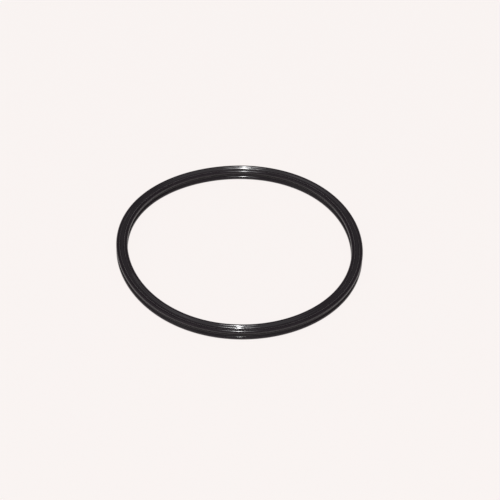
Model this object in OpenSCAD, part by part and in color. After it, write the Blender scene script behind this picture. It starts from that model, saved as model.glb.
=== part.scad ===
// X-ring seal: one moulded rubber ring whose square section has four round lobes.
// The ring's axis is Z, and the origin is its centre, halfway up the section.

/* [Ring] */
// Inside diameter, across the crests of the inner lobes
inner_d = 104.14; // [60:0.01:300]

/* [Section] */
// Width and height of the square section, from crest to crest
section_w = 5.33; // [4.6:0.01:8]
// Radius of each lobe
lobe_r = 1; // [0.6:0.01:1.05]
// Depth of the valley between two neighbouring lobes, below their crests
valley_depth = 0.87; // [0.4:0.01:1.1]

/* [Hidden] */

// Steps round the ring, and round a full circle of a lobe and of a valley
ring_steps = 240;
lobe_steps = 64;
valley_steps = 128;
// Each valley's arc reaches this far into the lobes beside it, so that the arcs always meet
arc_lap = 0.00003;
// Radius of the circle on which the section's centre lies
ring_r = inner_d / 2 + section_w / 2;
// Each lobe's centre lies this far from the section's centre, both across and up
lobe_off = section_w / 2 - lobe_r;
// The valley's arc runs tangent into the lobes on both sides, which fixes its radius
valley_r = (pow(lobe_off, 2) + pow(valley_depth, 2)) / (2 * valley_depth) - lobe_r;
// Distance from the section's centre to the centre of a valley's arc
valley_off = section_w / 2 - valley_depth + valley_r;

// Four copies of its children, turned a quarter about the section's centre
module each_side() {
    for (turn = [0 : 90 : 270])
        rotate(turn) children();
}

// Quarter of the web before its valley is cut: a kite from the section's centre to the
// valley's, through two lobes' centres, so that its outer edges cross where the arcs touch
module web_quarter() {
    polygon([
        [0, 0],
        [lobe_off, lobe_off],
        [0, valley_off],
        [-lobe_off, lobe_off]
    ]);
}

// The web that joins the four lobes, hollowed on each side by a round valley
module web() {
    difference() {
        each_side() web_quarter();
        each_side() translate([0, valley_off]) circle(r = valley_r + arc_lap, $fn = valley_steps);
    }
}

// The four lobes, one at each corner of the section
module lobes() {
    each_side() translate([lobe_off, lobe_off]) circle(r = lobe_r, $fn = lobe_steps);
}

// The whole section, about its own centre
module section() {
    union() {
        web();
        lobes();
    }
}

// The seal: the section turned about the ring's axis
module x_ring() {
    color([0.16, 0.16, 0.165])
        rotate_extrude($fn = ring_steps)
            translate([ring_r, 0]) section();
}

x_ring();
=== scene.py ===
"""X-ring seal: one moulded rubber ring whose square section has four round lobes.

The ring lies flat on a plain pale floor, seen from the photograph's camera. Lengths are in
metres and angles in degrees, unless a name says otherwise. The ring's axis is Z, and the
origin is its centre, halfway up its section.
"""

import logging
import math
from dataclasses import dataclass
from enum import Enum
from typing import Any

import bpy
from mathutils import Matrix, Vector, noise


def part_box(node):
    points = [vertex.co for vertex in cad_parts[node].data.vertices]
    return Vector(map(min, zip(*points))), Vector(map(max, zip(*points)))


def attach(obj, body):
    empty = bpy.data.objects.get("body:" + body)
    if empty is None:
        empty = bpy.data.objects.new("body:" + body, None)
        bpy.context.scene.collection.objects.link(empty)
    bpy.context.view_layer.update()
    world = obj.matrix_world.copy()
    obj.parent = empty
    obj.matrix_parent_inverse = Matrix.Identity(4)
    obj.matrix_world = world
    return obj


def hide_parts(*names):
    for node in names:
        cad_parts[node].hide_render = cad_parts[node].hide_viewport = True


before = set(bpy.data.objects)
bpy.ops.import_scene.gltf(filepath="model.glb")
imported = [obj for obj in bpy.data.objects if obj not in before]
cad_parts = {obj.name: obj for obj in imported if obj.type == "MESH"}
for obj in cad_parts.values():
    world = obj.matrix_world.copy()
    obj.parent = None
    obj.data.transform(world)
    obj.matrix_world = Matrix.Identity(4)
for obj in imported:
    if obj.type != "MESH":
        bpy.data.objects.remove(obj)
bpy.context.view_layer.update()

MM = 0.001
NODE = "x_ring"
BODY = "root"
PLACE_ON_SECTION = "place_on_section"
IMAGE_SIDE_PX = 500.0
NOISE_MIDDLE = 0.5
WHITE = (1.0, 1.0, 1.0, 1.0)

Colour = tuple[float, float, float]
log = logging.getLogger("x_ring_seal")


class Signal:
    """One output of a node tree, which reads as a number in Python expressions."""

    def __init__(self, tree: bpy.types.NodeTree, socket: bpy.types.NodeSocket) -> None:
        """Wraps a socket.

        Args:
            tree: The node tree that holds the socket.
            socket: The output socket to read.
        """
        self.tree = tree
        self.socket = socket

    def math(self, operation: str, *terms: "Signal | float") -> "Signal":
        """Adds a Math node.

        Args:
            operation: The node's operation, such as ADD.
            *terms: Its inputs in order, each a signal or a number.

        Returns:
            The node's value.
        """
        node = self.tree.nodes.new("ShaderNodeMath")
        node.operation = operation
        for socket, term in zip(node.inputs, terms):
            if isinstance(term, Signal):
                self.tree.links.new(term.socket, socket)
            else:
                socket.default_value = term
        return Signal(self.tree, node.outputs[0])

    def __add__(self, other: "Signal | float") -> "Signal":
        """Returns self + other."""
        return self.math("ADD", self, other)

    def __radd__(self, other: float) -> "Signal":
        """Returns other + self."""
        return self.math("ADD", other, self)

    def __sub__(self, other: "Signal | float") -> "Signal":
        """Returns self - other."""
        return self.math("SUBTRACT", self, other)

    def __rsub__(self, other: float) -> "Signal":
        """Returns other - self."""
        return self.math("SUBTRACT", other, self)

    def __mul__(self, other: "Signal | float") -> "Signal":
        """Returns self * other."""
        return self.math("MULTIPLY", self, other)

    def __rmul__(self, other: float) -> "Signal":
        """Returns other * self."""
        return self.math("MULTIPLY", other, self)

    def __truediv__(self, other: "Signal | float") -> "Signal":
        """Returns self / other."""
        return self.math("DIVIDE", self, other)

    def __rtruediv__(self, other: float) -> "Signal":
        """Returns other / self."""
        return self.math("DIVIDE", other, self)

    def __abs__(self) -> "Signal":
        """Returns self without its sign."""
        return self.math("ABSOLUTE", self)

    def below(self, limit: "Signal | float") -> "Signal":
        """Returns 1 where self is less than limit, and 0 elsewhere."""
        return self.math("LESS_THAN", self, limit)

    def clamped(self) -> "Signal":
        """Returns self, held between 0 and 1."""
        return self.math("MINIMUM", self.math("MAXIMUM", self, 0.0), 1.0)


class Graph:
    """A node tree, with one method that adds any node to it."""

    def __init__(self, tree: bpy.types.NodeTree) -> None:
        """Empties a tree.

        Args:
            tree: The node tree of a material or of the world.
        """
        self.tree = tree
        tree.nodes.clear()

    def node(
        self,
        kind: str,
        settings: dict[str, Any] | None = None,
        sockets: dict[str | int, Any] | None = None,
        output: str | int | None = 0,
    ) -> Signal | None:
        """Adds a node, with its settings first and then its sockets.

        Args:
            kind: The node's type, without its ShaderNode prefix.
            settings: The node's own properties; stops is a colour ramp's list of
                positions and colours.
            sockets: A value or a signal for each input, by name or by number.
            output: The output to return, or None for a node that has none.

        Returns:
            That output as a signal.
        """
        node = self.tree.nodes.new("ShaderNode" + kind)
        for name, value in (settings or {}).items():
            if name == "stops":
                self._fill_ramp(node.color_ramp, value)
            else:
                setattr(node, name, value)
        for name, value in (sockets or {}).items():
            if isinstance(value, Signal):
                self.tree.links.new(value.socket, node.inputs[name])
            else:
                node.inputs[name].default_value = value
        return None if output is None else Signal(self.tree, node.outputs[output])

    @staticmethod
    def _fill_ramp(ramp: bpy.types.ColorRamp, stops: list[tuple[float, Colour]]) -> None:
        """Gives a colour ramp its stops.

        Args:
            ramp: The ramp, which has two stops when new.
            stops: Two or more positions, each with its colour.
        """
        while len(ramp.elements) < len(stops):
            ramp.elements.new(1.0)
        for element, (position, colour) in zip(ramp.elements, stops):
            element.position = position
            element.color = (*colour, 1.0)


class Side(Enum):
    """The four sides of the section, anticlockwise: each has one valley."""

    OUTER = (1, 0)
    TOP = (0, 1)
    INNER = (-1, 0)
    BOTTOM = (0, -1)

    @property
    def has_parting_line(self) -> bool:
        """The mould's halves meet at mid-height, so in the outer and the inner valley."""
        return self in (Side.OUTER, Side.INNER)

    @property
    def out(self) -> Vector:
        """Unit vector from the section's centre out through this side, at the +X cut."""
        across, up = self.value
        return Vector((across, 0.0, up))

    @property
    def along(self) -> Vector:
        """Unit vector along this side, in the direction that the outline is drawn."""
        across, up = self.value
        return Vector((-up, 0.0, across))


@dataclass(frozen=True)
class LobedSection:
    """The ring's section, every arc of which runs tangent into the next.

    Attributes:
        width: Width and height, from crest to crest.
        lobe_r: Radius of each lobe.
        valley_depth: Depth of a valley below the crests beside it.
        flash_height: How far the trimmed flash stands out of its valley.
        flash_width: Thickness of the flash.
        lobe_steps: Edges in one lobe's arc.
        valley_steps: Edges in one valley's arc, an even number.
    """

    width: float
    lobe_r: float = 1.0 * MM
    valley_depth: float = 0.87 * MM
    flash_height: float = 0.03 * MM
    flash_width: float = 0.1 * MM
    lobe_steps: int = 32
    valley_steps: int = 16

    @property
    def lobe_off(self) -> float:
        """Distance of a lobe's centre from the section's, across and up."""
        return self.width / 2 - self.lobe_r

    @property
    def valley_r(self) -> float:
        """Radius of a valley's arc, which touches the two lobes beside it."""
        reach = self.lobe_off**2 + self.valley_depth**2
        return reach / (2 * self.valley_depth) - self.lobe_r

    @property
    def valley_off(self) -> float:
        """Distance of a valley arc's centre from the section's."""
        return self.width / 2 - self.valley_depth + self.valley_r

    @property
    def half_valley(self) -> float:
        """Half the angle of a valley's arc, in radians."""
        return math.atan2(self.lobe_off, self.valley_off - self.lobe_off)

    @property
    def half_flash(self) -> float:
        """Half the angle that the flash's root takes up in its valley, in radians."""
        return math.asin(self.flash_width / 2 / self.valley_r)


@dataclass(frozen=True)
class FreeSet:
    """How far a loose ring lies from a true circle, as waves round the ring.

    Attributes:
        three_cos: Height of the cosine part of the three-lobed wave.
        three_sin: Height of its sine part.
        four_cos: Height of the cosine part of the four-lobed wave.
        four_sin: Height of its sine part.
    """

    three_cos: float = -0.213 * MM
    three_sin: float = 0.283 * MM
    four_cos: float = -0.103 * MM
    four_sin: float = -0.25 * MM

    def at(self, turn: float) -> float:
        """Gives the outward shift at one place.

        Args:
            turn: Angle round the ring from +X, in radians.

        Returns:
            The shift, in metres.
        """
        three = self.three_cos * math.cos(3 * turn) + self.three_sin * math.sin(3 * turn)
        four = self.four_cos * math.cos(4 * turn) + self.four_sin * math.sin(4 * turn)
        return three + four


@dataclass(frozen=True)
class MouldedRubber:
    """Black moulded rubber: smooth and glossy from a polished mould.

    Attributes:
        dark: Colour of the rubber where its skin is densest.
        light: Colour where the skin is a little paler.
        reach: Noise levels up to which it is all dark, and past which it is all light.
        cloud_size: Width of the soft patches of tone.
        cloud_detail: How many finer sizes of patch lie over them.
        cloud_fineness: How strong each finer size is, as a share of the last.
        index: Refractive index, which sets how much the skin reflects.
        gloss: Roughness of the skin.
        gloss_spread: How far the roughness varies over the patches.
        torn: Roughness of the trimmed flash.
        film_gloss: Roughness of the shine that the valleys keep from the mould.
        film_edge: Distance inside a crest over which that shine sets in.
    """

    dark: Colour = (0.0130, 0.0087, 0.0120)
    light: Colour = (0.0168, 0.0117, 0.0156)
    reach: tuple[float, float] = (0.3, 0.7)
    cloud_size: float = 7.0 * MM
    cloud_detail: float = 3.0
    cloud_fineness: float = 0.5
    index: float = 1.4
    gloss: float = 0.115
    gloss_spread: float = 0.01
    torn: float = 0.35
    film_gloss: float = 0.105
    film_edge: float = 0.3 * MM

    def material(self, section: LobedSection) -> bpy.types.Material:
        """Makes the material.

        Args:
            section: The section that the skin covers.

        Returns:
            The material.
        """
        material = bpy.data.materials.new("black_rubber")
        material.use_nodes = True
        graph = Graph(material.node_tree)
        place = graph.node("TexCoord", output="Object")
        clouds = graph.node(
            "TexNoise",
            {"noise_dimensions": "3D"},
            {
                "Vector": place,
                "Scale": 1.0 / self.cloud_size,
                "Detail": self.cloud_detail,
                "Roughness": self.cloud_fineness,
            },
            output="Fac",
        )
        colour = graph.node(
            "ValToRGB",
            {"stops": list(zip(self.reach, (self.dark, self.light)))},
            {"Fac": clouds},
        )
        on_section = graph.node(
            "Attribute",
            {"attribute_type": "GEOMETRY", "attribute_name": PLACE_ON_SECTION},
            output="Vector",
        )
        across, height = (
            abs(graph.node("SeparateXYZ", {}, {"Vector": on_section}, output=axis)) for axis in "XZ"
        )
        skin = self.gloss + (clouds - NOISE_MIDDLE) * (2 * self.gloss_spread)
        flash = height.below(section.flash_width)
        film = ((section.lobe_off - across) / self.film_edge).clamped()
        shader = graph.node(
            "BsdfPrincipled",
            {},
            {
                "Base Color": colour,
                "Roughness": skin + (self.torn - skin) * flash,
                "IOR": self.index,
                "Coat Weight": film * (1.0 - flash),
                "Coat Roughness": self.film_gloss,
            },
        )
        graph.node("OutputMaterial", {}, {"Surface": shader}, output=None)
        return material


@dataclass
class XRing:
    """The seal: its section turned about the ring's axis.

    Attributes:
        outer_r: Radius over the crests of the outer lobes.
        section: The ring's section.
        rubber: Its finish.
        free_set: How far the loose ring lies from a true circle.
        steps: Edges round the ring.
        merge: Distance within which two vertices become one.
        crease: Angle in degrees past which an edge is shaded sharp.
        tear_size: Length of the waves along the flash's torn edge.
        tear_depth: Height of those waves, as a share of the flash's own.
    """

    outer_r: float
    section: LobedSection
    rubber: MouldedRubber
    free_set: FreeSet
    steps: int = 384
    merge: float = 0.003 * MM
    crease: float = 35.0
    tear_size: float = 1.6 * MM
    tear_depth: float = 0.45

    @classmethod
    def from_frame(cls) -> "XRing":
        """Reads the ring's size from the CAD node.

        Returns:
            The ring, not yet built.
        """
        low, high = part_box(NODE)
        section = LobedSection(width=high.z - low.z)
        return cls(high.x, section, MouldedRubber(), FreeSet())

    @property
    def ring_r(self) -> float:
        """Radius of the circle on which the section's centre lies."""
        return self.outer_r - self.section.width / 2

    def build(self) -> bpy.types.Object:
        """Models the ring, dresses it and ties it to the frame.

        Returns:
            The finished piece.
        """
        ring = self._first_point()
        for side in Side:
            self._draw_valley(side)
            self._draw_lobe(side)
        self._turn_section()
        bpy.ops.object.mode_set(mode="OBJECT")
        self._settle(ring)
        bpy.ops.object.shade_smooth_by_angle(angle=math.radians(self.crease))
        ring.data.materials.append(self.rubber.material(self.section))
        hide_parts(NODE)
        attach(ring, BODY)
        return ring

    def _on_section(self, side: Side, out: float, along: float) -> Vector:
        """Gives a point of the section at the +X cut.

        Args:
            side: The side that it is measured from.
            out: Distance from the section's centre towards that side.
            along: Distance along the side, anticlockwise.

        Returns:
            The point.
        """
        return Vector((self.ring_r, 0, 0)) + side.out * out + side.along * along

    def _first_point(self) -> bpy.types.Object:
        """Starts the outline where the outer valley begins, and stays in edit mode.

        Returns:
            An object that holds one selected vertex.
        """
        section = self.section
        swing = section.half_valley
        start = self._on_section(
            Side.OUTER,
            section.valley_off - section.valley_r * math.cos(swing),
            -section.valley_r * math.sin(swing),
        )
        bpy.ops.object.select_all(action="DESELECT")
        bpy.ops.mesh.primitive_plane_add(size=section.lobe_r)
        ring = bpy.context.active_object
        ring.name = ring.data.name = "rubber_ring"
        bpy.ops.object.mode_set(mode="EDIT")
        bpy.ops.mesh.select_all(action="SELECT")
        bpy.ops.mesh.merge(type="CENTER")
        bpy.ops.transform.translate(value=start)
        return ring

    def _arc(self, centre: Vector, angle: float, steps: int) -> None:
        """Draws an arc from the selected vertex, in the section's plane.

        Spin turns against the right-hand rule, so its axis is +Y here.

        Args:
            centre: The arc's centre.
            angle: Its angle in radians, positive anticlockwise.
            steps: Edges in it.
        """
        bpy.ops.mesh.spin(steps=steps, angle=angle, center=centre, axis=(0, 1, 0))

    def _draw_valley(self, side: Side) -> None:
        """Draws one valley, with its flash where the mould parts.

        Args:
            side: The side that the valley is on.
        """
        section = self.section
        centre = self._on_section(side, section.valley_off, 0)
        if not side.has_parting_line:
            self._arc(centre, -2 * section.half_valley, section.valley_steps)
            return
        half = section.half_valley - section.half_flash
        self._arc(centre, -half, section.valley_steps // 2)
        rise = side.out * section.flash_height
        for move in (rise, side.along * section.flash_width, -rise):
            bpy.ops.mesh.extrude_region_move(TRANSFORM_OT_translate={"value": move})
        self._arc(centre, -half, section.valley_steps // 2)

    def _draw_lobe(self, side: Side) -> None:
        """Draws the lobe that follows one side's valley.

        Args:
            side: The side that the outline has just passed.
        """
        section = self.section
        centre = self._on_section(side, section.lobe_off, section.lobe_off)
        angle = math.pi / 2 + 2 * section.half_valley
        self._arc(centre, angle, section.lobe_steps)

    def _turn_section(self) -> None:
        """Closes the outline and turns it about the ring's axis."""
        bpy.ops.mesh.select_all(action="SELECT")
        bpy.ops.mesh.remove_doubles(threshold=self.merge)
        bpy.ops.object.mode_set(mode="OBJECT")
        bpy.ops.object.modifier_add(type="SCREW")
        turned = bpy.context.active_object.modifiers[-1]
        turned.axis = "Z"
        turned.angle = 2 * math.pi
        turned.steps = turned.render_steps = self.steps
        bpy.ops.object.modifier_apply(modifier=turned.name)
        bpy.ops.object.mode_set(mode="EDIT")
        bpy.ops.mesh.select_all(action="SELECT")
        bpy.ops.mesh.remove_doubles(threshold=self.merge)
        bpy.ops.mesh.normals_make_consistent(inside=False)

    def _settle(self, ring: bpy.types.Object) -> None:
        """Moves the ring to the shape in which it lies loose, and tears the flash's edge.

        Each point keeps its place on the section as an attribute, for the finish.

        Args:
            ring: The piece.
        """
        floor = self.section.width / 2 - self.section.valley_depth
        places = ring.data.attributes.new(PLACE_ON_SECTION, "FLOAT_VECTOR", "POINT")
        for vertex, place in zip(ring.data.vertices, places.data):
            x, y, z = vertex.co
            turn = math.atan2(y, x)
            radius = math.hypot(x, y)
            place.vector = (radius - self.ring_r, 0.0, z)
            proud = abs(radius - self.ring_r) - floor
            shift = self.free_set.at(turn)
            if abs(z) < self.section.flash_width and proud > self.section.flash_height / 2:
                ragged = noise.noise(Vector((x, y, 0)) / self.tear_size)
                shift += math.copysign(self.tear_depth * ragged * proud, radius - self.ring_r)
            vertex.co.x += shift * math.cos(turn)
            vertex.co.y += shift * math.sin(turn)


@dataclass(frozen=True)
class Floor:
    """The plain pale surface that the ring lies on, with a low wall far off round it.

    Attributes:
        radius: Radius of the round area that it covers.
        wall: Height of the wall round it, which closes a low view.
        sides: Sides of that wall.
        colour: Its colour.
        steady: Share of the colour that is seen unshaded, so that it stays pale.
    """

    radius: float = 7.0
    wall: float = 1.2
    sides: int = 96
    colour: Colour = (0.963, 0.913, 0.897)
    steady: float = 0.93

    def build(self, top: float) -> bpy.types.Object:
        """Lays the floor and raises its wall.

        Args:
            top: Height of its surface.

        Returns:
            The floor.
        """
        bpy.ops.object.select_all(action="DESELECT")
        bpy.ops.mesh.primitive_circle_add(
            vertices=self.sides, radius=self.radius, fill_type="NGON", location=(0, 0, top)
        )
        floor = bpy.context.active_object
        floor.name = floor.data.name = "floor"
        bpy.ops.object.mode_set(mode="EDIT")
        bpy.ops.mesh.select_mode(type="EDGE")
        bpy.ops.mesh.select_all(action="SELECT")
        bpy.ops.mesh.extrude_edges_move(TRANSFORM_OT_translate={"value": (0, 0, self.wall)})
        bpy.ops.object.mode_set(mode="OBJECT")
        floor.data.materials.append(self._material())
        return floor

    def _material(self) -> bpy.types.Material:
        """Makes the floor's material.

        Returns:
            The material.
        """
        material = bpy.data.materials.new("pale_floor")
        material.use_nodes = True
        graph = Graph(material.node_tree)
        colour = (*self.colour, 1.0)
        matte = graph.node("BsdfDiffuse", {}, {"Color": colour})
        glow = graph.node("Emission", {}, {"Color": colour, "Strength": 1.0})
        camera, glossy, through = (
            graph.node("LightPath", output=f"Is {ray} Ray")
            for ray in ("Camera", "Glossy", "Transmission")
        )
        seen = (camera + glossy + through) * self.steady
        shader = graph.node("MixShader", {}, {0: seen, 1: matte, 2: glow})
        graph.node("OutputMaterial", {}, {"Surface": shader}, output=None)
        return material


@dataclass(frozen=True)
class Lamp:
    """A rectangular studio lamp, aimed at the ring.

    Attributes:
        name: The lamp's name.
        azimuth: Direction that it lies in, from the camera's side towards the right.
        elevation: Its angle above the horizon.
        width: Angle that its face spans from side to side, seen from the ring.
        height: Angle that its face spans from top to bottom.
        level: Light that it gives on a surface at the ring that faces it, where 1 turns
            a white surface white.
        distance: Distance from the ring's centre.
    """

    name: str
    azimuth: float
    elevation: float
    width: float
    height: float
    level: float
    distance: float = 2.5

    def build(self) -> bpy.types.Object:
        """Hangs the lamp.

        Returns:
            The lamp.
        """
        light = bpy.data.lights.new(self.name, "AREA")
        light.shape = "RECTANGLE"
        light.size = self._side(self.width)
        light.size_y = self._side(self.height)
        light.energy = self.level * (math.pi * self.distance) ** 2
        azimuth, elevation = math.radians(self.azimuth), math.radians(self.elevation)
        flat = math.cos(elevation)
        towards = Vector((math.sin(azimuth) * flat, -math.cos(azimuth) * flat, math.sin(elevation)))
        lamp = bpy.data.objects.new(self.name, light)
        lamp.location = towards * self.distance
        lamp.rotation_euler = (-towards).to_track_quat("-Z", "Y").to_euler()
        bpy.context.scene.collection.objects.link(lamp)
        return lamp

    def _side(self, angle: float) -> float:
        """Returns the length that spans an angle at the lamp's distance."""
        return 2 * self.distance * math.tan(math.radians(angle / 2))


@dataclass(frozen=True)
class Studio:
    """The room's soft light and its lamps.

    Attributes:
        lamps: The lamps.
        level: Light that comes from all round, where 1 turns a white surface white.
    """

    lamps: tuple[Lamp, ...]
    level: float

    def build(self) -> list[bpy.types.Object]:
        """Lights the scene.

        Returns:
            The lamps.
        """
        world = bpy.data.worlds.new("studio")
        world.use_nodes = True
        bpy.context.scene.world = world
        graph = Graph(world.node_tree)
        light = graph.node("Background", {}, {"Color": WHITE, "Strength": self.level})
        graph.node("OutputWorld", {}, {"Surface": light}, output=None)
        return [lamp.build() for lamp in self.lamps]


@dataclass(frozen=True)
class PhotoCamera:
    """The photograph's camera, which looks along +Y and down at the ring.

    Attributes:
        elevation: Angle above the horizon.
        distance: Distance from the ring's centre.
        focal_px: Focal length, in pixels of the photograph.
        roll: How far the camera leans to its left.
        centre_px: Where the ring's centre lies in the photograph.
        sensor: Width of the sensor, in millimetres.
    """

    elevation: float = 42.64
    distance: float = 0.7764
    focal_px: float = 1669.5
    roll: float = 2.08
    centre_px: tuple[float, float] = (239.99, 247.56)
    sensor: float = 36.0

    def build(self) -> bpy.types.Object:
        """Sets the camera up and makes it the scene's.

        Returns:
            The camera.
        """
        elevation = math.radians(self.elevation)
        back = Vector((0, -math.cos(elevation), math.sin(elevation)))
        facing = (-back).to_track_quat("-Z", "Y").to_matrix()
        facing = facing @ Matrix.Rotation(math.radians(self.roll), 3, "Z")
        middle_px = IMAGE_SIDE_PX / 2
        ring_px = Vector(
            (self.centre_px[0] - middle_px, middle_px - self.centre_px[1], -self.focal_px)
        )
        aside = Vector((0, 0, -1)).rotation_difference(ring_px).to_matrix()
        data = bpy.data.cameras.new("photo_camera")
        data.sensor_width = self.sensor
        data.lens = self.focal_px / IMAGE_SIDE_PX * self.sensor
        camera = bpy.data.objects.new("photo_camera", data)
        camera.matrix_world = Matrix.Translation(back * self.distance) @ (
            facing @ aside.transposed()
        ).to_4x4()
        bpy.context.scene.collection.objects.link(camera)
        bpy.context.scene.camera = camera
        return camera


def main() -> None:
    """Builds the scene and reports each piece."""
    logging.basicConfig(level=logging.INFO, format="%(name)s: %(message)s")
    bpy.context.scene.view_settings.view_transform = "Standard"
    camera = PhotoCamera().build()
    log.info("%s: lens %.1f mm", camera.name, camera.data.lens)
    ring = XRing.from_frame().build()
    log.info("%s: %d faces", ring.name, len(ring.data.polygons))
    floor = Floor()
    low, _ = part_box(NODE)
    log.info("%s: laid at %.5f m", floor.build(low.z).name, low.z)
    key = Lamp("key_lamp", azimuth=3.7, elevation=72.5, width=2.0, height=38.0, level=0.44)
    glow = Lamp("soft_lamp", azimuth=4.0, elevation=72.0, width=16.0, height=30.0, level=0.17)
    spot = Lamp("small_lamp", azimuth=-17.0, elevation=74.0, width=1.5, height=4.0, level=0.01)
    front = Lamp("front_lamp", azimuth=0.0, elevation=65.0, width=90.0, height=70.0, level=0.22)
    left = Lamp("left_lamp", azimuth=-80.0, elevation=40.0, width=60.0, height=30.0, level=0.06)
    studio = Studio((key, glow, spot, front, left), level=0.14)
    for lamp in studio.build():
        log.info("%s: %.2f W", lamp.name, lamp.data.energy)


if __name__ == "__main__":
    main()
